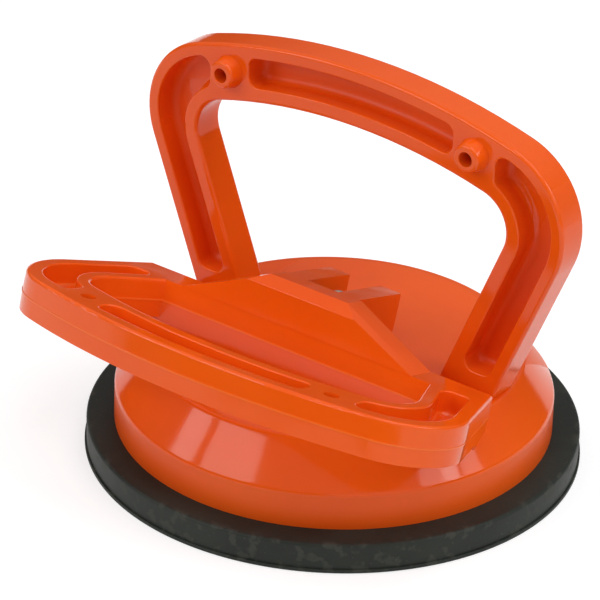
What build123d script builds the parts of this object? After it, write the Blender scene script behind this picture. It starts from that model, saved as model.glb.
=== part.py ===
"""Single-cup glass lifter: a rubber pad under a moulded housing with a bow handle, and a cam lever.

Millimetres, +Z up. The origin is the middle of the pad's sealing face. The bow handle spans X and
stands just behind the middle, and the lever's grip points towards -Y. The lever is shown open, as
it lies when the cup is let go; closing it turns it up against the bow and lifts the pad's middle.
"""
import os
from math import asin, atan2, cos, degrees, hypot, radians, sin, sqrt, tan

from build123d import *

# Rubber pad
pad_radius = 59.0
pad_thickness = 7.1
pad_edge_round = 0.8
pad_lip = 0.45             # the sealing lip stands out from the side wall by this
pad_lip_height = 0.8
seal_width = 9.0           # flat ring at the rim of the sealing face
cup_depth = 1.2            # hollow of the sealing face at its middle
cup_slope = 0.12           # slope at which the hollow meets the flat ring
hub_radius = 21.0
hub_height = 4.6           # hub above the pad's upper face
hub_foot_round = 2.0
hub_edge_round = 1.0
anchor_floor = 3.0         # rubber under the bolt head

# Anchor that is moulded into the rubber
plate_radius = 17.0
plate_thickness = 2.0
bolt_radius = 2.5
bolt_head_radius = 5.0
bolt_head_height = 1.8
plate_chamfer = 0.3
bolt_head_chamfer = 0.3
bolt_tip_chamfer = 0.8
bolt_above_pivot = 7.8     # free end above the pivot's axis
insert_gap = 0.02          # between the rubber and the steel it is moulded round

# Housing: rim, flare and flat deck
rim_inset = 6.6            # the rim stands this far inside the pad's edge
rim_height = 8.8           # rim edge above the pad's upper face
rim_draft = 0.1            # the rim leans in by this much over its height
rim_edge_round = 1.4
deck_inset = 7.7           # the deck's edge lies this far inside the rim
deck_height = 18.9         # deck above the pad's upper face
flare_hollow = 2.1         # how far the flare's arc dips in behind its chord
deck_edge_round = 1.2
shell_wall = 3.0
guide_radius = 6.0
guide_length = 9.0         # sleeve that guides the bolt, from the deck down
guide_clearance = 0.1
rib_count = 12
rib_thickness = 2.0
rib_depth = 8.0            # ribs reach this far below the deck

# Bow handle, moulded in one with the housing
bow_front = 1.1            # Y of its front face
bow_depth = 8.8
bow_foot_inset = 1.1       # outer side of a leg inside the deck's edge, at the deck
bow_lean = 0.391           # outward lean of the legs, mm per mm of height
bow_width = 14.2           # across a leg and across the grip
bow_root = 1.5             # the legs reach this far below the deck, past its rounded edge
bow_height = 70.3          # top of the grip above the deck
bow_crown_radius = 158.0
bow_corner_radius = 20.4
bow_inner_corner = 9.0
bow_edge_round = 0.9
bow_pocket_depth = 6.0
bow_outer_wall = 3.2
bow_inner_wall = 3.7
bow_pocket_foot = 5.6      # solid foot below each leg's pocket
pocket_floor_round = 2.0
pocket_rim_round = 0.4

# Pegs on the bow's front, and the dimples that face them in the lever
peg_inset = 8.9            # the pegs stand this far inside the outer sides of the legs' feet
peg_drop = 6.85            # the pegs stand this far below the grip's crown
peg_base_radius = 4.0
peg_tip_radius = 3.2
peg_length = 3.2
peg_tip_round = 0.8
peg_hole_radius = 1.8
peg_hole_depth = 6.5
peg_land = 11.6            # solid land between two pockets
pocket_end_round = 2.5

# Lever, in its own plane: u runs from the pivot to the grip, w stands up from the top face
open_tilt = 16.8           # degrees that the open lever rises from the deck towards its grip
pivot_height = 5.34        # pivot above the deck with the lever open
lift = 3.0                 # rise of the pivot when the lever closes
lever_back = 8.8           # u of the loop's back edge
lever_lean = 0.375
lever_grip = 62.3          # u of the grip's outer side
lever_crown_radius = 146.0
lever_corner_radius = 17.6
lever_thickness = 9.4
lever_parting = 5.1        # parting line below the top face
parting_bead = 0.12        # fine bead that stands out along the parting line
parting_bead_height = 0.3
lever_draft = 1.5          # degrees, both ways from the parting line
lever_edge_round = 0.7
lever_leg = 15.4           # across a leg, level with the window's back edge
lever_rail = 8.8           # back rail between the back edge and the window
window_lean = 0.45
lever_grip_width = 13.8    # across the grip in its middle
window_crown_radius = 130.0
window_corner_radius = 8.2
lever_outer_wall = 4.0
lever_inner_wall = 3.5
lever_pocket_back = 16.8
lever_pocket_depth = 6.0
dimple_radius = 1.8
dimple_depth = 4.0

# Web and ears that stand on the lever's back rail
web_height = 9.9
web_inset = 4.9            # the web's foot ends this far inside the window's corner
web_crest = 11.2           # half width at the crest
web_back = 9.3
web_slope = 2.7            # the crest stands back from the web's front by this
web_shoulder_height = 7.55
web_shoulder = 15.4        # half width of the front face's upper edge
web_edge_round = 0.5
ear_inner = 4.5
ear_outer = 10.5
heel_drop = 2.0            # the back rail reaches this far below the loop, down to the heel
ear_lap = 1.0              # the ears run this far into the web
heel_run = 8.0             # flat of the heel beyond the point under the pivot
cam_steps = 5              # spans of the curve that shapes the cam
cam_gap = 0.1              # running gap between the cam and the deck
closed_play = 0.15         # degrees left between the closed lever and the pegs

# Pivot barrel and lock nut
barrel_radius = 4.0
barrel_clearance = 0.05
barrel_end_gap = 0.3       # the barrel's ends lie this far inside the ears
barrel_flat_gap = 0.2      # between the flat's ends and the ears
barrel_flat = 3.2          # flats above and below the bolt's hole, from the axis
barrel_end_chamfer = 0.4
bolt_clearance = 0.05
nut_across_flats = 8.0
nut_height = 2.7
nut_chamfer = 0.5

# Places that follow from the sizes above
rim_radius = pad_radius - rim_inset
deck_radius = rim_radius - deck_inset
bow_foot = deck_radius - bow_foot_inset
deck_z = pad_thickness + deck_height
rim_edge_z = pad_thickness + rim_height
pivot_z = deck_z + pivot_height
bow_top_z = deck_z + bow_height
peg_x = bow_foot - peg_inset
peg_z = bow_top_z - bow_crown_radius + sqrt((bow_crown_radius - peg_drop) ** 2 - peg_x ** 2)
tilt = radians(open_tilt)

# The closed lever leans on the peg tips, a little short of upright
peg_reach = peg_length - bow_front
stop_lean = atan2(peg_reach, peg_z - peg_tip_radius + peg_tip_round - pivot_z - lift)
stop_play = radians(closed_play)
lever_travel = radians(90) - tilt - stop_lean - stop_play
cam_rate = lift / lever_travel                     # rise of the pivot per radian
cam_end_reach = pivot_height + cam_rate * (radians(90) - tilt) - cam_gap

# The closed lever's loop covers the bow, so its legs start where the bow's do at that height
lever_foot = bow_foot + bow_lean * (pivot_height + lift + lever_back)
window_back = lever_back + lever_rail
window_foot = lever_foot + lever_lean * lever_rail - lever_leg
window_grip = lever_grip - lever_grip_width
web_foot = window_foot - web_inset
web_crest_front = window_back - web_slope
dimple_reach = peg_z - pivot_z - lift                # the dimples face the pegs once the lever has closed

lever_plane = Plane(origin=(0, 0, pivot_z), x_dir=(-1, 0, 0), z_dir=(0, sin(tilt), cos(tilt)))


def lever_section(x):
    """Plane across the lever at x, with u along its first axis and w along its second."""
    u_dir = lever_plane.y_dir
    return Plane(origin=(x, 0, pivot_z), x_dir=u_dir, z_dir=u_dir.cross(lever_plane.z_dir))


def lever_upright(u):
    """Plane that stands on the lever's top face at u, facing the grip, with w as its second axis."""
    origin = lever_plane.from_local_coords((0, u, 0))
    return Plane(origin=origin, x_dir=(1, 0, 0), z_dir=lever_plane.y_dir)


def corner_at(sketch, x, y):
    """Corner of a sketch that lies nearest to a point of the sketch's own plane."""
    return sketch.vertices().sort_by_distance((x, y, 0))[0]


def crown_meet(foot, lean, crown_radius, top, base):
    """Height at which a leaning leg line meets the crown arc."""
    centre = top - crown_radius
    a = 1 + lean ** 2
    b = 2 * (foot - lean * base) * lean - 2 * centre
    c = (foot - lean * base) ** 2 + centre ** 2 - crown_radius ** 2
    return (-b + sqrt(b ** 2 - 4 * a * c)) / (2 * a)


def bow_area(foot, lean, corner_radius, crown_radius, top, base):
    """Area under a bow: two legs that lean out, round corners and a crowned top."""
    height = crown_meet(foot, lean, crown_radius, top, base)
    shoulder = foot + lean * (height - base)
    with BuildSketch() as area:
        with BuildLine():
            Polyline((shoulder, height), (foot, base), (-foot, base), (-shoulder, height))
            ThreePointArc((-shoulder, height), (0, top), (shoulder, height))
        make_face()
        fillet(area.vertices().group_by(Axis.Y)[-1], corner_radius)
    return area.sketch


def bow_band(outer, inner):
    """Band between two bow areas."""
    with BuildSketch() as band:
        add(outer)
        add(inner, mode=Mode.SUBTRACT)
    return band.sketch


def plane_axis(plane):
    """Axis that stands on a plane."""
    return Axis(plane.origin, plane.z_dir)


def pocket_block(plane, outer, inner, pocket_foot, land_from, depth):
    """Solid that cuts a bow's pockets: its band above the pocket foot, less two lands, well rounded."""
    reach = 4 * peg_x
    with BuildPart() as block:
        with BuildSketch(plane):
            add(outer)
            add(inner, mode=Mode.SUBTRACT)
            with Locations((0, pocket_foot - reach / 2)):
                Rectangle(reach, reach, mode=Mode.SUBTRACT)
            with Locations((peg_x, land_from + reach / 2), (-peg_x, land_from + reach / 2)):
                Rectangle(peg_land, reach, mode=Mode.SUBTRACT)
        extrude(amount=-depth)
        upright = block.edges().filter_by(plane_axis(plane))
        at_foot = upright.filter_by(lambda e: abs(plane.to_local_coords(e.center()).Y - pocket_foot) < 0.01)
        at_land = upright.filter_by(lambda e: abs(abs(abs(e.center().X) - peg_x) - peg_land / 2) < 0.01)
        fillet(at_foot + at_land, pocket_end_round)
        floors = block.faces().filter_by(plane_axis(plane)).sort_by(plane_axis(plane))[:3]
        fillet(floors.edges(), pocket_floor_round)
    return block.part


def pocket_rims(part, block, plane):
    """Edges that a pocket block leaves in a part's face in this plane."""
    mouths = block.faces().filter_by(plane_axis(plane)).sort_by(plane_axis(plane))[-3:]
    middles = [edge.center() for edge in mouths.edges()]
    return part.edges().filter_by(lambda e: min((e.center() - middle).length for middle in middles) < 0.01)


# Rubber pad, with the cavity that its anchor fills
bolt_seat_z = anchor_floor + bolt_head_height
hub_top_z = pad_thickness + hub_height

with BuildPart() as rubber_pad:
    with BuildSketch(Plane.XZ) as pad_profile:
        with BuildLine():
            hollow_edge = pad_radius - seal_width
            Polyline(
                (hollow_edge, 0),
                (pad_radius + pad_lip, 0),
                (pad_radius + pad_lip, pad_lip_height),
                (pad_radius, pad_lip_height),
                (pad_radius, pad_thickness),
                (hub_radius, pad_thickness),
                (hub_radius, hub_top_z),
                (0, hub_top_z),
                (0, cup_depth),
            )
            Spline((0, cup_depth), (hollow_edge, 0), tangents=((1, 0), (1, -cup_slope)))
        make_face()
        fillet(corner_at(pad_profile, pad_radius, pad_thickness), pad_edge_round)
        fillet(corner_at(pad_profile, hub_radius, pad_thickness), hub_foot_round)
        fillet(corner_at(pad_profile, hub_radius, hub_top_z), hub_edge_round)
    revolve(axis=Axis.Z)
    with Locations((0, 0, anchor_floor - insert_gap)):
        Cylinder(bolt_head_radius + insert_gap, bolt_head_height + insert_gap,
                 align=(Align.CENTER, Align.CENTER, Align.MIN), mode=Mode.SUBTRACT)
        Cylinder(bolt_radius + insert_gap, hub_top_z,
                 align=(Align.CENTER, Align.CENTER, Align.MIN), mode=Mode.SUBTRACT)
    with Locations((0, 0, bolt_seat_z - insert_gap)):
        Cylinder(plate_radius + insert_gap, plate_thickness + 2 * insert_gap,
                 align=(Align.CENTER, Align.CENTER, Align.MIN), mode=Mode.SUBTRACT)
rubber_pad.part.label = "rubber_pad"

# Steel disc in the rubber
with BuildPart() as anchor_plate:
    with BuildSketch(Plane.XY.offset(bolt_seat_z)):
        Circle(plate_radius)
        Circle(bolt_radius + insert_gap, mode=Mode.SUBTRACT)
    extrude(amount=plate_thickness)
    chamfer(anchor_plate.edges().filter_by(GeomType.CIRCLE).sort_by(SortBy.LENGTH)[-2:], plate_chamfer)
anchor_plate.part.label = "anchor_plate"

# Bolt whose head holds the disc; its plain shank stands up through the deck
with BuildPart() as stud:
    with BuildSketch(Plane.XY.offset(anchor_floor)):
        Circle(bolt_head_radius)
    extrude(amount=bolt_head_height)
    with BuildSketch(Plane.XY.offset(bolt_seat_z)):
        Circle(bolt_radius)
    extrude(amount=pivot_z + bolt_above_pivot - bolt_seat_z)
    chamfer(stud.edges().group_by(Axis.Z)[-1], bolt_tip_chamfer)
    chamfer(stud.edges().group_by(Axis.Z)[0], bolt_head_chamfer)
stud.part.label = "stud"

# Pivot barrel: the ears turn on its ends and the nut sits on its flat
with BuildPart() as pivot_barrel:
    barrel_half = ear_outer - barrel_end_gap
    with BuildSketch(Plane.YZ.offset(-barrel_half)):
        with Locations((0, pivot_z)):
            Circle(barrel_radius)
    extrude(amount=2 * barrel_half)
    chamfer(pivot_barrel.edges().filter_by(GeomType.CIRCLE), barrel_end_chamfer)
    with Locations((0, 0, pivot_z + barrel_flat)):
        Box(2 * (ear_inner - barrel_flat_gap), 2 * barrel_radius, barrel_radius,
            align=(Align.CENTER, Align.CENTER, Align.MIN), mode=Mode.SUBTRACT)
    with Locations((0, 0, pivot_z)):
        Cylinder(bolt_radius + bolt_clearance, 3 * barrel_radius, mode=Mode.SUBTRACT)
pivot_barrel.part.label = "pivot_barrel"

# Lock nut on the barrel's flat, chamfered at both faces
with BuildPart() as lock_nut:
    with BuildSketch(Plane.XY.offset(pivot_z + barrel_flat)):
        RegularPolygon(nut_across_flats / 2, 6, major_radius=False, rotation=30)
    extrude(amount=nut_height)
    with BuildPart(Plane.XY.offset(pivot_z + barrel_flat), mode=Mode.INTERSECT) as nut_round:
        Cylinder(nut_across_flats / 2 / cos(radians(30)), nut_height,
                 align=(Align.CENTER, Align.CENTER, Align.MIN))
        chamfer(nut_round.edges().filter_by(GeomType.CIRCLE), nut_chamfer)
    with Locations((0, 0, pivot_z + barrel_flat)):
        Cylinder(bolt_radius + bolt_clearance, 3 * nut_height, mode=Mode.SUBTRACT)
lock_nut.part.label = "lock_nut"

# Housing shell: rim, hollow flare and flat deck
rim_top_radius = rim_radius - rim_draft
flare_run = rim_top_radius - deck_radius
flare_rise = deck_z - rim_edge_z
flare_chord = hypot(flare_run, flare_rise)
flare_inward = (-flare_rise / flare_chord, -flare_run / flare_chord)
flare_mid_radius = (rim_top_radius + deck_radius) / 2 + flare_hollow * flare_inward[0]
flare_mid_z = (rim_edge_z + deck_z) / 2 + flare_hollow * flare_inward[1]
hollow_mid_radius = flare_mid_radius + shell_wall * flare_inward[0]
hollow_mid_z = flare_mid_z + shell_wall * flare_inward[1]
roof_z = deck_z - shell_wall
sleeve_foot_z = deck_z - guide_length
rib_foot_z = deck_z - rib_depth

with BuildPart() as hollow:
    with BuildSketch(Plane.XZ) as hollow_profile:
        with BuildLine():
            Polyline(
                (0, roof_z),
                (0, pad_thickness - shell_wall),
                (rim_radius - shell_wall, pad_thickness - shell_wall),
                (rim_top_radius - shell_wall, rim_edge_z - shell_wall),
            )
            ThreePointArc(
                (rim_top_radius - shell_wall, rim_edge_z - shell_wall),
                (hollow_mid_radius, hollow_mid_z),
                (deck_radius - shell_wall, roof_z),
            )
            Line((deck_radius - shell_wall, roof_z), (0, roof_z))
        make_face()
    revolve(axis=Axis.Z)
    with BuildSketch(Plane.XY.offset(rib_foot_z)):
        with PolarLocations(rim_radius / 2, rib_count, start_angle=180 / rib_count):
            Rectangle(rim_radius, rib_thickness)
    extrude(amount=rib_depth, mode=Mode.SUBTRACT)
    with BuildSketch(Plane.XY.offset(sleeve_foot_z)):
        Circle(guide_radius)
    extrude(amount=guide_length, mode=Mode.SUBTRACT)

# Bow handle: outline, wall lines and pockets, all in the plane of its front face
bow_root_z = deck_z - bow_root
bow_root_foot = bow_foot - bow_lean * bow_root
bow_outer = bow_area(bow_root_foot, bow_lean, bow_corner_radius, bow_crown_radius, bow_top_z, bow_root_z)
bow_inner = bow_area(bow_root_foot - bow_width * hypot(1, bow_lean), bow_lean, bow_inner_corner,
                     bow_crown_radius - bow_width, bow_top_z - bow_width, bow_root_z)
bow_front_plane = Plane.XZ.offset(-bow_front)
bow_pockets = pocket_block(
    bow_front_plane, offset(bow_outer, -bow_outer_wall), offset(bow_inner, bow_inner_wall),
    deck_z + bow_pocket_foot, bow_top_z - bow_height / 2, bow_pocket_depth,
)
peg_places = [(-peg_x, peg_z), (peg_x, peg_z)]

with BuildPart() as bow:
    with BuildSketch(bow_front_plane):
        add(bow_band(bow_outer, bow_inner))
    extrude(amount=-bow_depth)
    bow_faces = bow.faces().filter_by(Axis.Y)
    bow_rims = bow_faces.edges().filter_by(lambda e: e.center().Z > deck_z)
    fillet(bow_rims, bow_edge_round)
    add(bow_pockets, mode=Mode.SUBTRACT)
    fillet(pocket_rims(bow, bow_pockets, bow_front_plane), pocket_rim_round)

with BuildPart() as housing:
    with BuildSketch(Plane.XZ) as shell_profile:
        with BuildLine():
            Polyline(
                (0, deck_z),
                (0, pad_thickness),
                (rim_radius, pad_thickness),
                (rim_top_radius, rim_edge_z),
            )
            ThreePointArc(
                (rim_top_radius, rim_edge_z),
                (flare_mid_radius, flare_mid_z),
                (deck_radius, deck_z),
            )
            Line((deck_radius, deck_z), (0, deck_z))
        make_face()
        fillet(corner_at(shell_profile, rim_top_radius, rim_edge_z), rim_edge_round)
        fillet(corner_at(shell_profile, deck_radius, deck_z), deck_edge_round)
    revolve(axis=Axis.Z)
    add(hollow.part, mode=Mode.SUBTRACT)
    add(bow.part)
    with BuildSketch(bow_front_plane):
        with Locations(*peg_places):
            Circle(peg_base_radius)
    extrude(amount=peg_length, taper=degrees(atan2(peg_base_radius - peg_tip_radius, peg_length)))
    peg_rims = housing.edges().filter_by(GeomType.CIRCLE).filter_by(
        lambda e: abs(e.center().Y - bow_front + peg_length) < 0.01)
    fillet(peg_rims, peg_tip_round)
    with BuildSketch(bow_front_plane.offset(peg_length)):
        with Locations(*peg_places):
            Circle(peg_hole_radius)
    extrude(amount=-peg_hole_depth, mode=Mode.SUBTRACT)
    with BuildSketch(Plane.XY.offset(deck_z)):
        Circle(bolt_radius + guide_clearance)
    extrude(amount=-guide_length, mode=Mode.SUBTRACT)
housing.part.label = "housing"

# Lever outline, wall lines and pockets in the plane of its top face
lever_outer = bow_area(lever_foot, lever_lean, lever_corner_radius, lever_crown_radius,
                       lever_grip, lever_back)
lever_window = bow_area(window_foot, window_lean, window_corner_radius, window_crown_radius,
                        window_grip, window_back)
lever_pockets = pocket_block(
    lever_plane, offset(lever_outer, -lever_outer_wall), offset(lever_window, lever_inner_wall),
    lever_pocket_back, (window_back + window_grip) / 2, lever_pocket_depth,
)
bead_band = bow_band(offset(lever_outer, parting_bead), offset(lever_window, -parting_bead))
heel_z = deck_z + cam_gap


def cam_point(turn):
    """Point (u, w) of the cam that faces the deck once the lever has turned this far."""
    angle = tilt + turn
    reach = pivot_height - cam_gap + cam_rate * turn
    u = -reach * sin(angle) - cam_rate * cos(angle)
    w = -reach * cos(angle) + cam_rate * sin(angle)
    return (u, w)


def web_outline(half_width, height):
    """Corners of the web's outline, on an upright plane."""
    return [(-web_foot, 0), (web_foot, 0), (half_width, height), (-half_width, height)]


def past_rail(edge):
    """Whether an edge of the lever's loop lies on its legs or its grip."""
    return lever_plane.to_local_coords(edge.center()).Y > window_back + lever_edge_round


cam_sweep = radians(90) - tilt
cam_points = [cam_point(cam_sweep * step / cam_steps) for step in range(cam_steps + 1)]
cam_start, cam_end = cam_points[0], cam_points[-1]
heel_end = (cam_start[0] + heel_run * cos(tilt), cam_start[1] - heel_run * sin(tilt))

with BuildPart() as lever_loop:
    with BuildSketch(lever_plane.offset(-lever_parting)):
        add(bow_band(lever_outer, lever_window))
    extrude(amount=lever_parting, taper=lever_draft)
    with BuildSketch(lever_plane.offset(-lever_parting)):
        add(bow_band(lever_outer, lever_window))
    extrude(amount=lever_parting - lever_thickness, taper=lever_draft)
    with BuildSketch(lever_plane.offset(-lever_parting)):
        add(lever_outer)
        with Locations((0, window_back + lever_grip)):
            Rectangle(4 * lever_grip, 2 * lever_grip, mode=Mode.SUBTRACT)
    extrude(amount=lever_parting - lever_thickness - heel_drop, taper=lever_draft)
    with BuildSketch(lever_plane.offset(-lever_parting - parting_bead_height / 2)):
        add(bead_band)
    extrude(amount=parting_bead_height)
    level_faces = lever_loop.faces().filter_by(plane_axis(lever_plane))
    top_face = level_faces.sort_by(plane_axis(lever_plane))[-1]
    fillet(top_face.edges().filter_by(past_rail), lever_edge_round)
    add(lever_pockets, mode=Mode.SUBTRACT)
    fillet(pocket_rims(lever_loop, lever_pockets, lever_plane), pocket_rim_round)

with BuildPart() as web:
    with BuildSketch(lever_upright(window_back)):
        with BuildLine():
            Polyline(*web_outline(web_shoulder, web_shoulder_height), close=True)
        make_face()
    with BuildSketch(lever_upright(web_crest_front)):
        with BuildLine():
            Polyline(*web_outline(web_crest, web_height), close=True)
        make_face()
    loft(ruled=True)
    with BuildSketch(lever_upright(web_crest_front)):
        with BuildLine():
            Polyline(*web_outline(web_crest, web_height), close=True)
        make_face()
    extrude(amount=web_back - web_crest_front)
    web_brow = lever_upright(window_back).from_local_coords((0, web_shoulder_height, 0))
    fillet(web.edges().sort_by_distance(web_brow)[0], web_edge_round)

with BuildPart() as lever:
    add(lever_loop.part)
    add(web.part)
    with BuildSketch(lever_section(-ear_outer), lever_section(ear_inner)):
        with BuildLine():
            Spline(cam_points)
            Polyline(cam_end, (cam_end[0], web_height), (web_crest_front - ear_lap, web_height),
                     (web_crest_front - ear_lap, -lever_parting), heel_end, cam_start)
        make_face()
    extrude(amount=ear_inner - ear_outer)
    with BuildSketch(Plane.YZ.offset(-2 * ear_outer)):
        with Locations((0, pivot_z)):
            Circle(barrel_radius + barrel_clearance)
    extrude(amount=4 * ear_outer, mode=Mode.SUBTRACT)
    with BuildSketch(lever_plane):
        with Locations((-peg_x, dimple_reach), (peg_x, dimple_reach)):
            Circle(dimple_radius)
    extrude(amount=-dimple_depth, mode=Mode.SUBTRACT)
    with Locations((0, 0, heel_z)):
        Box(4 * web_foot, 4 * web_foot, deck_height, align=(Align.CENTER, Align.CENTER, Align.MAX),
            mode=Mode.SUBTRACT)
lever.part.label = "lever"

print("lever travel %.2f deg, lift %.2f mm, cam rate %.6f m/rad" % (
    degrees(lever_travel), lift, cam_rate / 1000))
print("pivot z %.3f, closed lean %.2f deg, cam end %.2f" % (pivot_z, degrees(stop_lean), cam_end_reach))

os.makedirs("parts", exist_ok=True)
export_step(rubber_pad.part, "parts/rubber_pad.step")
export_step(anchor_plate.part, "parts/anchor_plate.step")
export_step(stud.part, "parts/stud.step")
export_step(pivot_barrel.part, "parts/pivot_barrel.step")
export_step(lock_nut.part, "parts/lock_nut.step")
export_step(housing.part, "parts/housing.step")
export_step(lever.part, "parts/lever.step")
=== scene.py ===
# %% [markdown]
# # A single-cup glass lifter
# The lifter has an orange moulded housing with a bow handle, an orange cam lever, a black rubber
# pad and a few zinc-plated pieces between the lever's ears. The moulded and metal pieces come from
# the engineering model. Here they get their finishes, and the housing gets a ring that straightens
# its flare. The rubber pad is soft, so it is modelled again as rubber. We begin by loading the
# model and listing its pieces.

# %% Load the engineering model
import math

import bpy
from mathutils import Matrix, Vector


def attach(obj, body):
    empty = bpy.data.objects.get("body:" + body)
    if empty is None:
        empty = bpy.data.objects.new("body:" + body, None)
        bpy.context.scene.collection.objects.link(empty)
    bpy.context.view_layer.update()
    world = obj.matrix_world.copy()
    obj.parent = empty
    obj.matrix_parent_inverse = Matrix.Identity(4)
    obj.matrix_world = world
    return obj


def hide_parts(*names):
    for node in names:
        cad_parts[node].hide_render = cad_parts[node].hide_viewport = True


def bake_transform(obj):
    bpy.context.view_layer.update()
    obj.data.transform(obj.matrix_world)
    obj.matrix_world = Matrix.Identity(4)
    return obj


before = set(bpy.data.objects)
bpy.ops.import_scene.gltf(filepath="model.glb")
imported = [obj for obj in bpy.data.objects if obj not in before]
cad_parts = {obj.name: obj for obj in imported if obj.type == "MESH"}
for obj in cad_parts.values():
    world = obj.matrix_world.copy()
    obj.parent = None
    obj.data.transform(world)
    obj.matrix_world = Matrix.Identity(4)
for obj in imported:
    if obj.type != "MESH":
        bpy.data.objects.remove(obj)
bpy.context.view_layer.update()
print("nodes", sorted(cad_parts))

MM = 0.001

# %% [markdown]
# ## Writing finishes as sums
# A finish is a small network of nodes. Written out one node at a time it is long and hard to
# follow, so a socket is wrapped in a class that knows how to add, multiply and compare. An
# expression such as `1 - mask * 0.5` then builds its own Math nodes.

# %% A socket that can be used in sums


class Signal:
    """What one socket sends on, and the network of nodes that it belongs to."""

    def __init__(self, network, socket):
        self.network = network
        self.socket = socket

    def _math(self, operation, a, b=None):
        values = {0: a} if b is None else {0: a, 1: b}
        return self.network.add("ShaderNodeMath", {"operation": operation}, values)

    def __add__(self, other):
        return self._math("ADD", self, other)

    def __sub__(self, other):
        return self._math("SUBTRACT", self, other)

    def __rsub__(self, other):
        return self._math("SUBTRACT", other, self)

    def __mul__(self, other):
        return self._math("MULTIPLY", self, other)

    def __pow__(self, other):
        return self._math("POWER", self, other)

    def __abs__(self):
        return self._math("ABSOLUTE", self)

    def smaller(self, other):
        return self._math("MINIMUM", self, other)

    def larger(self, other):
        return self._math("MAXIMUM", self, other)

    __radd__ = __add__
    __rmul__ = __mul__


# %% [markdown]
# ## One method for every other node
# Textures, colour mixes and bumps come from a single method that takes the node's type, its
# settings and what goes into its sockets. Settings are made first, because some of them decide
# which sockets a node shows. The floor and the room around the lifter are networks of nodes too,
# so the method stands in a class that only asks for the nodes and for the one that they end in.

# %% A network of nodes


class Network:
    """Shader nodes, and the node at their end that the signals are fed to."""

    def __init__(self, tree, end):
        self.tree = tree
        self.end = tree.nodes[end]

    def add(self, kind, settings=None, values=None, output=0):
        """A new node of this type, with its settings made and its sockets set or linked."""
        node = self.tree.nodes.new(kind)
        for name, value in (settings or {}).items():
            setattr(node, name, value)
        for key, value in (values or {}).items():
            if isinstance(value, Signal):
                self.tree.links.new(value.socket, node.inputs[key])
            else:
                node.inputs[key].default_value = value
        return Signal(self, node.outputs[output])

    def feed(self, socket, signal):
        """Let the signal drive this socket of the node at the end."""
        self.tree.links.new(signal.socket, self.end.inputs[socket])

    def ramp(self, signal, low, high):
        """0 below low, 1 above high, and smooth between."""
        return self.add("ShaderNodeMapRange", {"interpolation_type": "SMOOTHSTEP"},
                        {"Value": signal, "From Min": low, "From Max": high})


# %% [markdown]
# A finish is such a network. It has a material of its own and ends in the Principled shader. Its
# methods name what the finishes below need: a place on the piece, a cloudy pattern, a mix of two
# colours and a relief.

# %% A finish


class Finish(Network):
    """A material with a Principled shader, built from Object coordinates in metres."""

    def __init__(self, name, **sockets):
        self.material = bpy.data.materials.new(name)
        self.material.use_nodes = True
        super().__init__(self.material.node_tree, "Principled BSDF")
        for socket, value in sockets.items():
            self.end.inputs[socket.replace("_", " ")].default_value = value
        self.place = self.add("ShaderNodeTexCoord", output="Object")

    def along(self, axis):
        """Place along X, Y or Z."""
        return self.add("ShaderNodeSeparateXYZ", None, {0: self.place}, output=axis)

    def from_axis(self):
        """Distance from the upright axis through the middle of the pad."""
        flat = self.add("ShaderNodeVectorMath", {"operation": "MULTIPLY"},
                        {0: self.place, 1: (1, 1, 0)})
        return self.add("ShaderNodeVectorMath", {"operation": "LENGTH"}, {0: flat}, output="Value")

    def noise(self, size, detail=2.0, seed=0.0):
        """Cloudy pattern from 0 to 1 whose patches are about this many metres across."""
        shift = self.add("ShaderNodeVectorMath", {"operation": "ADD"},
                         {0: self.place, 1: (seed, seed, seed)})
        return self.add("ShaderNodeTexNoise", {"noise_dimensions": "3D"},
                        {"Vector": shift, "Scale": 1 / size, "Detail": detail})

    def mix(self, factor, a, b):
        """Colour a where the factor is 0 and b where it is 1."""
        # Sockets 0, 6 and 7 are the factor and the two colours, and output 2 is the mixed colour.
        return self.add("ShaderNodeMix", {"data_type": "RGBA"}, {0: factor, 6: a, 7: b}, output=2)

    def bump(self, height, distance):
        """Surface relief of this height in metres, fed to the shader's normal."""
        relief = self.add("ShaderNodeBump", None,
                          {"Height": height, "Distance": distance, "Strength": 1.0},
                          output="Normal")
        self.feed("Normal", relief)


# %% [markdown]
# Colours are written as a picture shows them, because that is how we read them off a screen. A
# shader counts in light instead, which is not the same scale, so each colour is converted.

# %% Colours as a picture shows them


def srgb(red, green, blue):
    """A colour as a picture shows it, from 0 to 255, as the light values that a shader needs."""
    channels = []
    for value in (red, green, blue):
        share = value / 255
        channels.append(share / 12.92 if share <= 0.04045 else ((share + 0.055) / 1.055) ** 2.4)
    return (*channels, 1)


DEEP_ORANGE, BRIGHT_ORANGE = srgb(235, 86, 12), srgb(240, 92, 15)
# The lighter orange is a painted highlight, laid along the lever's parting line.
HIGHLIGHT_ORANGE = srgb(246, 112, 38)
print("orange as light:", [round(c, 3) for c in DEEP_ORANGE[:3]])

# %% [markdown]
# ## Orange moulded plastic
# The housing and the lever are glossy ABS, coloured right through. Such plastic isn't one flat
# colour: light enters it a little way, its gloss ripples faintly where it shrank in the mould, and
# it has fine handling marks. A picture of plastic could be wrapped round the pieces, but it would
# stretch on the curves, so soft patterns in space give the colour drift, the ripple and the marks.

# %% Orange plastic
GLOSS, MARKED, HANDLED, MATT = 0.085, 0.03, 0.05, 0.3
RELIEF_HEIGHT, GRAIN_SHARE = 0.1 * MM, 0.012


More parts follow.
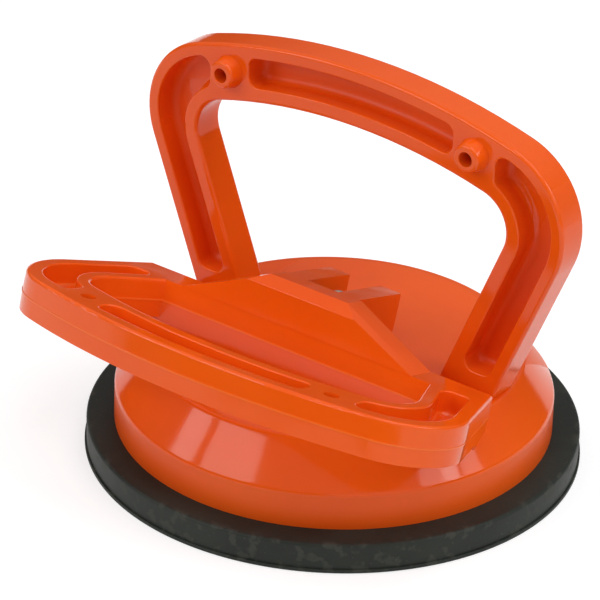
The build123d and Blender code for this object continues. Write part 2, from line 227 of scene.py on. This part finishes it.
def orange_plastic(name, highlight_mask=None, duller=None):
    """Glossy orange ABS, with a mask where a painted highlight lightens its colour and one where
    its gloss is dull.
    """
    plastic = Finish(name, Roughness=0.1, IOR=1.46, Specular_IOR_Level=0.36,
                     Subsurface_Weight=0.1, Subsurface_Scale=0.003,
                     Subsurface_Radius=(1.0, 0.25, 0.06))

    drift = plastic.ramp(plastic.noise(35 * MM, detail=3), 0.3, 0.7)
    colour = plastic.mix(drift, DEEP_ORANGE, BRIGHT_ORANGE)
    # A painted highlight: the colour turns lighter where the mask is given.
    if highlight_mask is not None:
        colour = plastic.mix(highlight_mask(plastic), colour, HIGHLIGHT_ORANGE)
    plastic.feed("Base Color", colour)

    marks = plastic.ramp(plastic.noise(1.2 * MM, detail=4, seed=3.1), 0.45, 0.75)
    handled = plastic.ramp(plastic.noise(18 * MM, detail=2, seed=7.3), 0.45, 0.7)
    roughness = GLOSS + MARKED * marks + HANDLED * handled
    if duller is not None:
        roughness = roughness + MATT * duller(plastic)
    plastic.feed("Roughness", roughness)

    ripple = plastic.noise(11 * MM, detail=1, seed=1.7)
    grain = plastic.noise(0.4 * MM, detail=1, seed=9.2)
    plastic.bump(ripple + GRAIN_SHARE * grain, RELIEF_HEIGHT)
    print(name, "has", len(plastic.tree.nodes), "nodes")
    return plastic


# %% [markdown]
# The mould's cores were left matt, so the pockets in the bow handle have no gloss. The pockets'
# faces could be picked out by hand and given a second material, but then every change of the model
# would need them picked again. So a mask finds them by place: by their depth under the front face
# and by their distance from the handle's outer line, which is straight along each leg and an arc
# over the grip.

# %% Pockets of the bow handle
LEG_FOOT, LEG_LEAN, LEG_FOOT_TOP = 43.6 * MM, 0.391, 26.0 * MM
CROWN_RADIUS, CROWN_TOP = 158.0 * MM, 96.3 * MM
POCKET_FROM, POCKET_TO, POCKET_BLUR = 3.3 * MM, 10.4 * MM, 0.3 * MM
FRONT_FACE = 1.1 * MM


def bow_pockets(plastic):
    """1 in the pockets of the bow handle and 0 elsewhere."""
    across, depth, height = (plastic.along(axis) for axis in "XYZ")
    leg_line = LEG_FOOT + LEG_LEAN * (height - LEG_FOOT_TOP)
    from_leg = (leg_line - abs(across)) * (1 / math.hypot(1, LEG_LEAN))
    above_centre = height - (CROWN_TOP - CROWN_RADIUS)
    from_crown = CROWN_RADIUS - (across * across + above_centre * above_centre) ** 0.5
    inside = from_leg.smaller(from_crown)
    past_outer_wall = plastic.ramp(inside, POCKET_FROM - POCKET_BLUR, POCKET_FROM + POCKET_BLUR)
    past_inner_wall = plastic.ramp(inside, POCKET_TO - POCKET_BLUR, POCKET_TO + POCKET_BLUR)
    sunk = plastic.ramp(depth, FRONT_FACE + POCKET_BLUR, FRONT_FACE + 3 * POCKET_BLUR)
    return past_outer_wall * (1 - past_inner_wall) * sunk


# %% [markdown]
# The upright wall of the rim is duller than the flare above it, so the ground and the rubber are
# mirrored in it with no sharp line between them. The wall is the outermost orange plastic low on
# the housing. Its distance from the pad's axis and its height are enough to find it, in the
# housing and in any piece that is fitted to it later.

# %% Orange plastic of the housing, dull in those places
RIM_WALL_FROM, RIM_WALL_BELOW, RIM_WALL_BLUR = 52.1 * MM, 15.7 * MM, 0.15 * MM
RIM_WALL_MATT = 0.8


def matt_places(plastic):
    """1 in the pockets of the bow handle, nearly 1 on the wall of the rim, and 0 elsewhere."""
    outermost = plastic.ramp(plastic.from_axis(), RIM_WALL_FROM - RIM_WALL_BLUR,
                             RIM_WALL_FROM + RIM_WALL_BLUR)
    above = plastic.ramp(plastic.along("Z"), RIM_WALL_BELOW - 2 * RIM_WALL_BLUR, RIM_WALL_BELOW)
    return bow_pockets(plastic).larger(RIM_WALL_MATT * (outermost * (1 - above)))


orange = orange_plastic("orange_abs", duller=matt_places)

# %% [markdown]
# The two halves of the lever's mould met in a plane across its walls and left a fine bead, which
# the engineering model has. The bead's own shading renders as a dark line, so a painted highlight
# is laid along it: the plastic's colour is made lighter there. The bead's faces could be given a
# second material, but the painted line is a little wider than the bead and fades out beside it. So
# it is a mask in the finish, which measures the distance from that plane. The plane slants as the
# open lever does.

# %% Orange plastic of the lever, with a painted highlight along its parting line
LEVER_TILT = math.radians(16.8)
PIVOT_HEIGHT = 31.34 * MM
PARTING_DEPTH = 5.1 * MM
# Width, core and strength of the painted highlight along the parting line.
LINE_HALF, LINE_CORE, HIGHLIGHT_STRENGTH = 0.35 * MM, 0.14 * MM, 0.8


def parting_line_highlight(plastic):
    """1 on the parting line of the lever, where the painted highlight goes, and 0 away from it."""
    upright = (0, math.sin(LEVER_TILT), math.cos(LEVER_TILT))
    raised = plastic.add("ShaderNodeVectorMath", {"operation": "DOT_PRODUCT"},
                         {0: plastic.place, 1: upright}, output="Value")
    distance = abs(raised + (PARTING_DEPTH - PIVOT_HEIGHT * math.cos(LEVER_TILT)))
    return HIGHLIGHT_STRENGTH * (1 - plastic.ramp(distance, LINE_CORE, LINE_HALF))


lever_orange = orange_plastic("lever_orange_abs", highlight_mask=parting_line_highlight)

# %% [markdown]
# ## Black rubber
# The pad is moulded black rubber. It has a greyish bloom that drifts in clouds, pale specks of
# dust, and pale grey patches along the upper edge and the wall. These are partly scuffs, dull from
# handling, and partly a painted reflection of the pale floor, which that edge mirrors.
# Marks could be painted on the mesh by hand. Here they are patterns in space, because the pad is
# made of two pieces and a pattern in space runs from one into the other. The scuffs and the
# painted reflection follow the edge, so they are masked by the distance from the pad's axis.

# %% Black rubber
RUBBER, RUBBER_BLOOM = srgb(31, 36, 31), srgb(41, 46, 40)
DUST, DUST_SHARE = srgb(116, 114, 104), 0.35
# A pale grey near the upper edge: partly scuffs, partly a painted reflection of the floor.
SCUFF_AND_REFLECTION_GREY, SCUFF_AND_REFLECTION_SHARE = srgb(98, 98, 90), 0.22
SCUFFS_AND_REFLECTION_FROM, SCUFFS_AND_REFLECTION_TO = 56.5 * MM, 58.8 * MM
PLAIN_DULL, BLOOM_DULL, SCUFF_DULL = 0.46, 0.08, 0.15
PORE_HEIGHT, SCUFF_RELIEF = 0.04 * MM, 0.5

rubber = Finish("black_rubber", Roughness=0.5, IOR=1.45, Specular_IOR_Level=0.3)
haze = rubber.ramp(rubber.noise(16 * MM, detail=4), 0.32, 0.68)
specks = rubber.ramp(rubber.noise(0.6 * MM, detail=2, seed=5.0), 0.7, 0.78)
near_edge = rubber.ramp(rubber.from_axis(), SCUFFS_AND_REFLECTION_FROM, SCUFFS_AND_REFLECTION_TO)
# Pale patches near the edge, partly scuffs and partly a painted reflection of the floor.
scuffs_and_reflection = near_edge * rubber.ramp(rubber.noise(3.5 * MM, detail=5, seed=11.0), 0.52, 0.62)
dusty = rubber.mix(specks * DUST_SHARE, rubber.mix(haze, RUBBER, RUBBER_BLOOM), DUST)
rubber.feed("Base Color", rubber.mix(scuffs_and_reflection * SCUFF_AND_REFLECTION_SHARE, dusty, SCUFF_AND_REFLECTION_GREY))
rubber.feed("Roughness", PLAIN_DULL + BLOOM_DULL * haze + SCUFF_DULL * scuffs_and_reflection)
pores = rubber.noise(0.6 * MM, detail=3, seed=2.0)
rubber.bump(pores + SCUFF_RELIEF * scuffs_and_reflection, PORE_HEIGHT)
print("rubber has", len(rubber.tree.nodes), "nodes")

# %% [markdown]
# ## Zinc-plated steel
# The bolt, nut, barrel and disc are steel with a thin zinc plating. It is a greyish metal that has
# dulled in patches, with a faint brushed grain that runs round the bolt. The grain could be cut
# into the mesh as fine grooves, but they are far thinner than a facet. So it is a relief in the
# finish: a noise that is squeezed along the bolt until its spots are flat bands.

# %% Zinc-plated steel
DULL_ZINC, BRIGHT_ZINC = srgb(168, 176, 168), srgb(198, 200, 190)
PLATING_DULL, PATCH_DULL = 0.3, 0.2
BAND_SQUEEZE, BANDS_PER_METRE, BAND_HEIGHT = (1, 1, 12), 700, 0.02 * MM

zinc = Finish("zinc_steel", Metallic=1.0, Roughness=0.35)
patches = zinc.ramp(zinc.noise(3 * MM, detail=3), 0.35, 0.65)
zinc.feed("Base Color", zinc.mix(patches, DULL_ZINC, BRIGHT_ZINC))
zinc.feed("Roughness", PLATING_DULL + PATCH_DULL * patches)
squeezed = zinc.add("ShaderNodeMapping", None, {"Vector": zinc.place, "Scale": BAND_SQUEEZE})
brushed = zinc.add("ShaderNodeTexNoise", None,
                   {"Vector": squeezed, "Scale": BANDS_PER_METRE, "Detail": 2})
zinc.bump(brushed, BAND_HEIGHT)
print("zinc has", len(zinc.tree.nodes), "nodes")

# %% [markdown]
# The pieces of the engineering model keep their shapes. Each only has its plain material taken off
# and its finish put on.

# %% Give the carried pieces their finishes
FINISH_OF = {
    "housing": orange,
    "lever": lever_orange,
    "rubber_pad": rubber,
    "anchor_plate": zinc,
    "stud": zinc,
    "pivot_barrel": zinc,
    "lock_nut": zinc,
}
for node, finish in FINISH_OF.items():
    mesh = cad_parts[node].data
    mesh.materials.clear()
    mesh.materials.append(finish.material)
print("finished", len(FINISH_OF), "nodes")

# %% [markdown]
# ## Turning a piece on an axis
# The pad is round, so it could be cut from a cylinder, or turned from an outline. Turning is
# chosen here, because the outline also draws the hollow of the cup and the cavity for the steel
# disc. One point is extruded along the outline, and the outline is then spun round the pad's axis.

# %% Turn an outline
ROUND_STEPS = 192
DOUBLES = 0.002 * MM


def turned(name, outline):
    """A piece turned about Z from an outline of (radius, height) corners in millimetres."""
    bpy.ops.object.select_all(action="DESELECT")
    bpy.ops.mesh.primitive_plane_add(size=MM, location=(0, 0, 0))
    piece = bpy.context.object
    piece.name = name
    piece.data.name = name
    bpy.ops.object.mode_set(mode="EDIT")
    bpy.ops.mesh.select_mode(type="VERT")
    bpy.ops.mesh.select_all(action="SELECT")
    bpy.ops.mesh.merge(type="CENTER")
    bpy.ops.transform.translate(value=(outline[0][0] * MM, 0, outline[0][1] * MM))
    for (radius, height), (next_radius, next_height) in zip(outline, outline[1:]):
        step = ((next_radius - radius) * MM, 0, (next_height - height) * MM)
        bpy.ops.mesh.extrude_region_move(TRANSFORM_OT_translate={"value": step})
    bpy.ops.mesh.select_all(action="SELECT")
    bpy.ops.mesh.spin(steps=ROUND_STEPS, angle=math.tau, center=(0, 0, 0), axis=(0, 0, 1))
    bpy.ops.mesh.select_all(action="SELECT")
    bpy.ops.mesh.remove_doubles(threshold=DOUBLES)
    bpy.ops.mesh.normals_make_consistent(inside=False)
    bpy.ops.object.mode_set(mode="OBJECT")
    print(name, "is turned with", len(piece.data.polygons), "faces")
    return piece


# %% [markdown]
# No moulded edge is sharp. The rounding could be drawn into the outline, point by point, but a
# bevel of the finished edge is shorter and keeps the outline readable. The edge is found by its
# radius and height.

# %% Round an edge that runs round a turned piece
NEAR = 0.01 * MM


def round_ring(piece, radius, height, amount, steps):
    """Round the ring-shaped edge at this radius and height, in millimetres."""
    bpy.ops.object.select_all(action="DESELECT")
    bpy.context.view_layer.objects.active = piece
    bpy.ops.object.mode_set(mode="EDIT")
    bpy.ops.mesh.select_mode(type="EDGE")
    bpy.ops.mesh.select_all(action="DESELECT")
    bpy.ops.object.mode_set(mode="OBJECT")
    on_ring = [
        abs(math.hypot(point.co.x, point.co.y) - radius * MM) < NEAR
        and abs(point.co.z - height * MM) < NEAR
        for point in piece.data.vertices
    ]
    for edge in piece.data.edges:
        edge.select = on_ring[edge.vertices[0]] and on_ring[edge.vertices[1]]
    bpy.ops.object.mode_set(mode="EDIT")
    bpy.ops.mesh.bevel(offset=amount * MM, segments=steps, profile=0.5, affect="EDGES")
    bpy.ops.object.mode_set(mode="OBJECT")


# %% [markdown]
# A turned piece has flat facets. Where they meet at less than some angle they are shaded as one
# smooth surface, and sharper corners stay corners.

# %% Shade a piece smoothly


def smooth(piece, degrees):
    """Shade the piece smoothly, apart from corners sharper than this angle."""
    bpy.ops.object.select_all(action="DESELECT")
    piece.select_set(True)
    bpy.context.view_layer.objects.active = piece
    bpy.ops.object.shade_smooth_by_angle(angle=math.radians(degrees))


# %% [markdown]
# ## Straight flare
# Between its deck and its rim the real housing is a straight cone: the panes of the window are
# mirrored in it as straight bands. The engineering model's flare dips in a little. So a ring is
# turned that fills the dip with a straight face, from the edge of the deck to the edge of the rim,
# and its back lies inside the housing's wall.

# %% Measures of the flare, in millimetres
DECK_RADIUS, DECK_TOP = 44.7, 26.0
DECK_FLAT_RADIUS = 43.5
RIM_RADIUS, RIM_EDGE = 52.3, 15.9
RIM_WALL_TOP, RIM_PROUD = 14.85, 0.012
DECK_ROUND, RIM_ROUND = 0.5, 0.55
NEAR_DECK, NEAR_RIM = 0.8, 0.9
BACK_OF_RING = [(50.9, RIM_WALL_TOP), (49.6, 16.6), (46.0, 19.4), (43.9, 24.0)]
FLARE_LENGTH = math.hypot(RIM_RADIUS - DECK_RADIUS, DECK_TOP - RIM_EDGE)
print("the flare is", round(FLARE_LENGTH, 2), "mm long")


def on_flare(run):
    """Point on the flare's straight face, this far down from the edge of the deck."""
    share = run / FLARE_LENGTH
    return (DECK_RADIUS + share * (RIM_RADIUS - DECK_RADIUS),
            DECK_TOP + share * (RIM_EDGE - DECK_TOP))


# %% [markdown]
# Shading is smooth across the rounded edges, which would also bend the light on the cone between
# them. Two rings of points close to those edges keep the bending there, and the cone stays
# straight.

# %% Flare ring
flare_ring = turned("flare_ring", [
    (DECK_FLAT_RADIUS, DECK_TOP),
    (DECK_RADIUS, DECK_TOP),
    on_flare(NEAR_DECK),
    on_flare(FLARE_LENGTH - NEAR_RIM),
    (RIM_RADIUS, RIM_EDGE),
    (RIM_RADIUS + RIM_PROUD, RIM_WALL_TOP),
    *BACK_OF_RING,
    (DECK_FLAT_RADIUS, DECK_TOP),
])
round_ring(flare_ring, DECK_RADIUS, DECK_TOP, DECK_ROUND, 4)
round_ring(flare_ring, RIM_RADIUS, RIM_EDGE, RIM_ROUND, 5)
smooth(flare_ring, 20)
flare_ring.data.materials.append(orange.material)
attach(flare_ring, "base")

# %% [markdown]
# ## Rubber pad
# The real pad is one disc of rubber with a shallow hollow below, a thin sealing lip and a hub on
# top that holds the steel disc. When the lever closes, the bolt pulls the hub up and the hollow
# deepens, while the rim stays under the housing. Here the pad is made of two rigid pieces, a rim
# and a centre, and they meet out of sight under the housing.

# %% Pad measures, in millimetres
PAD_RADIUS, PAD_TOP, PAD_ROUND = 59.0, 7.1, 0.8
LIP_OUT, LIP_TOP, LIP_ROUND = 0.45, 0.8, 0.15
HOLLOW_RADIUS, HOLLOW_DEPTH = 50.0, 1.2
HUB_RADIUS, HUB_TOP = 21.0, 11.7
HUB_FOOT_ROUND, HUB_TOP_ROUND = 2.0, 1.0
MEETING_RADIUS, SEAM = 48.6, 0.01


def hollow_height(radius):
    """Height of the pad's hollow underside here: flat in the middle, falling to the rim."""
    share = min(radius / HOLLOW_RADIUS, 1)
    return HOLLOW_DEPTH * (1 - share**5)


print("the hollow is", round(hollow_height(0), 2), "mm deep in the middle")

# %% Pad rim
inner = MEETING_RADIUS + SEAM
pad_rim = turned("pad_rim", [
    (inner, hollow_height(inner)),
    (HOLLOW_RADIUS, 0),
    (PAD_RADIUS + LIP_OUT, 0),
    (PAD_RADIUS + LIP_OUT, LIP_TOP),
    (PAD_RADIUS, LIP_TOP),
    (PAD_RADIUS, PAD_TOP),
    (inner, PAD_TOP),
    (inner, hollow_height(inner)),
])
round_ring(pad_rim, PAD_RADIUS, PAD_TOP, PAD_ROUND, 6)
round_ring(pad_rim, PAD_RADIUS + LIP_OUT, LIP_TOP, LIP_ROUND, 3)

# %% [markdown]
# The centre is moulded round the steel disc and the bolt, so it has a cavity of their shape, a
# hair larger. The cavity could be cut with a boolean, but as part of the outline it needs no cut
# at all.

# %% Pad centre, with the cavity for the steel disc and the head of the bolt
CLEAR = 0.02
BOLT_RADIUS = 2.5
HEAD_RADIUS, HEAD_FOOT = 5.0, 3.0
DISC_RADIUS, DISC_FOOT, DISC_TOP = 17.0, 4.8, 6.8
UNDERSIDE_STEPS = 12
outer = MEETING_RADIUS - SEAM
underside_radii = [outer * step / UNDERSIDE_STEPS for step in range(UNDERSIDE_STEPS + 1)]
pad_centre = turned("pad_centre", [
    *((radius, hollow_height(radius)) for radius in underside_radii),
    (outer, PAD_TOP),
    (HUB_RADIUS, PAD_TOP),
    (HUB_RADIUS, HUB_TOP),
    (BOLT_RADIUS + CLEAR, HUB_TOP),
    (BOLT_RADIUS + CLEAR, DISC_TOP + CLEAR),
    (DISC_RADIUS + CLEAR, DISC_TOP + CLEAR),
    (DISC_RADIUS + CLEAR, DISC_FOOT - CLEAR),
    (HEAD_RADIUS + CLEAR, DISC_FOOT - CLEAR),
    (HEAD_RADIUS + CLEAR, HEAD_FOOT - CLEAR),
    (0, HEAD_FOOT - CLEAR),
])
round_ring(pad_centre, HUB_RADIUS, PAD_TOP, HUB_FOOT_ROUND, 6)
round_ring(pad_centre, HUB_RADIUS, HUB_TOP, HUB_TOP_ROUND, 5)

# %% [markdown]
# The rim rides on the housing, and the centre keeps its place. Both are shown instead of the pad
# of the engineering model, which is hidden.

# %% Finish and place the pad's pieces
for piece in (pad_rim, pad_centre):
    smooth(piece, 35)
    piece.data.materials.append(rubber.material)
    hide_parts("rubber_pad")
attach(pad_rim, "base")
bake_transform(pad_centre)
print("the pad has", len(pad_rim.data.polygons) + len(pad_centre.data.polygons), "faces")

# %% [markdown]
# ## Camera
# The photograph is taken from the front right, a little above the lifter, from a fair distance. A
# camera could be placed by eye until it looks right. This one was worked out from the circles of
# the pad, the rim and the deck, which a view turns into ellipses. It has the photograph's heading,
# dip and slight tilt, in radians, and its lens gives the photograph's frame. AWAY is the way from
# the middle of the pad's underside to the camera, measured to the camera's right, up and back.

# %% Camera
HEADING, DIP, TILT = 0.6412, 0.4895, 0.0322
AWAY = Vector((-7.7786, 33.0223, 719.14)) * MM
FOCAL_PIXELS, PHOTO_PIXELS, SENSOR = 2988.42, 600, 36

level_right = Vector((math.cos(HEADING), math.sin(HEADING), 0))
level_up = Vector((
    -math.sin(HEADING) * math.sin(DIP),
    math.cos(HEADING) * math.sin(DIP),
    math.cos(DIP),
))
right = math.cos(TILT) * level_right + math.sin(TILT) * level_up
up = math.cos(TILT) * level_up - math.sin(TILT) * level_right
turn = Matrix((right, up, right.cross(up))).transposed()

camera_data = bpy.data.cameras.new("camera")
camera_data.lens = SENSOR * FOCAL_PIXELS / PHOTO_PIXELS
camera_data.clip_start = 0.05
camera_data.clip_end = 20
camera = bpy.data.objects.new("camera", camera_data)
bpy.context.scene.collection.objects.link(camera)
camera.matrix_world = Matrix.LocRotScale(turn @ AWAY, turn.to_quaternion(), None)
bpy.context.scene.camera = camera
print("camera at", tuple(round(v, 3) for v in camera.location))

# %% [markdown]
# ## Floor
# The lifter stands on white. A floor could be made white by more light, but that would bleach the
# lifter as well. So the floor is plain pale paper to the light that bounces off it, and the camera
# and the mirrored rays see it partly glow: it looks white, and the lifter's shadow stays on it.

# %% Floor
FLOOR_SIZE, FLOOR_DROP = 2, 0.2 * MM
FLOOR_GLOW, FLOOR_SHADOWED, FLOOR_PAPER = 0.62, (0.5, 0.5, 0.5, 1), (0.8, 0.8, 0.8, 1)

bpy.ops.object.select_all(action="DESELECT")
bpy.ops.mesh.primitive_plane_add(size=FLOOR_SIZE, location=(0, 0, -FLOOR_DROP))
floor = bpy.context.object
floor.name = "floor"
floor_material = bpy.data.materials.new("white_floor")
floor_material.use_nodes = True
ground = Network(floor_material.node_tree, "Material Output")
ground.tree.nodes.remove(ground.tree.nodes["Principled BSDF"])
glow = ground.add("ShaderNodeEmission", None, {"Strength": FLOOR_GLOW})
shadowed = ground.add("ShaderNodeBsdfDiffuse", None, {"Color": FLOOR_SHADOWED})
shown = ground.add("ShaderNodeAddShader", None, {0: glow, 1: shadowed})
paper = ground.add("ShaderNodeBsdfDiffuse", None, {"Color": FLOOR_PAPER})
print("floor is", FLOOR_SIZE, "m wide")

# %% [markdown]
# The Light Path node tells which kind of ray has met the floor. The largest of three of its
# outputs is 1 for a ray from the camera, a mirrored ray or one that passed through something
# clear.

# %% Choose what each ray sees of the floor
camera_ray, mirrored_ray, clear_ray = (
    ground.add("ShaderNodeLightPath", output=ray)
    for ray in ("Is Camera Ray", "Is Glossy Ray", "Is Transmission Ray")
)
seen = camera_ray.larger(mirrored_ray).larger(clear_ray)
choice = ground.add("ShaderNodeMixShader", None, {0: seen, 1: paper, 2: shown})
ground.feed("Surface", choice)
floor.data.materials.append(floor_material)
print("floor has", len(ground.tree.nodes), "nodes")

# %% [markdown]
# ## World
# A room is darker near the ground than overhead. A world of one grey would flatten the gloss of
# the plastic, so it brightens smoothly with height.

# %% World
WORLD_LOW, WORLD_HIGH = 0.03, 0.54
BRIGHTENS_FROM, BRIGHTENS_TO = 0.0, 0.75

world = bpy.data.worlds.new("studio")
bpy.context.scene.world = world
world.use_nodes = True
room = Network(world.node_tree, "Background")
room.end.inputs["Color"].default_value = (1, 1, 1, 1)
direction = room.add("ShaderNodeTexCoord", output="Generated")
upwards = room.add("ShaderNodeSeparateXYZ", None, {0: direction}, output="Z")
rise = room.ramp(upwards, BRIGHTENS_FROM, BRIGHTENS_TO)
room.feed("Strength", WORLD_LOW + (WORLD_HIGH - WORLD_LOW) * rise)
print("world from", WORLD_LOW, "at the ground to", WORLD_HIGH, "overhead")

# %% [markdown]
# ## Window lamps
# The photograph is lit by windows. Two panes at the front left are mirrored in the housing's flare
# with a dark bar between them, and narrower panes at the right give the pale spots beside the
# lever. One large lamp would light the lifter as well, but its reflection would be one blank
# patch. So each pane is a lamp of its own, placed by its direction and the angle that it fills.
# Two broad, faint lamps add the light that the walls and the ceiling send back.

# %% Lamps
LAMP_DISTANCE = 1.3
AIMED_AT = Vector((0, 0, 20 * MM))


def window_lamp(name, heading, height, width_angle, height_angle, glow):
    """A soft lamp that fills these angles, in degrees, as seen from the lifter."""
    heading, height = math.radians(heading), math.radians(height)
    aim = Vector((
        math.cos(heading) * math.cos(height),
        math.sin(heading) * math.cos(height),
        math.sin(height),
    ))
    data = bpy.data.lights.new(name, "AREA")
    data.shape = "RECTANGLE"
    data.size = 2 * LAMP_DISTANCE * math.tan(math.radians(width_angle / 2))
    data.size_y = 2 * LAMP_DISTANCE * math.tan(math.radians(height_angle / 2))
    data.energy = glow * math.pi * data.size * data.size_y
    lamp = bpy.data.objects.new(name, data)
    bpy.context.scene.collection.objects.link(lamp)
    lamp.location = aim * LAMP_DISTANCE + AIMED_AT
    lamp.rotation_euler = (-aim).to_track_quat("-Z", "Y").to_euler()
    print(name, "gives", round(data.energy, 2), "W")


window_lamp("left_pane", -136, 31, 11.5, 24, 4.1)
window_lamp("right_pane", -110.5, 34, 24.5, 24, 3.3)
window_lamp("side_pane", 1, 36, 10, 22, 2.8)
window_lamp("side_pane_bright", 11, 35, 7, 22, 6.3)
window_lamp("side_pane_far", 22.5, 31, 9, 20, 3.1)
window_lamp("room_light", -30, 15, 50, 24, 0.7)
window_lamp("overhead_light", -10, 72, 40, 40, 1.9)

# %% [markdown]
# ## Colour handling
# The picture is shown without any film look, so that a colour comes out as it was written.

# %% Colour handling
bpy.context.scene.view_settings.view_transform = "Standard"
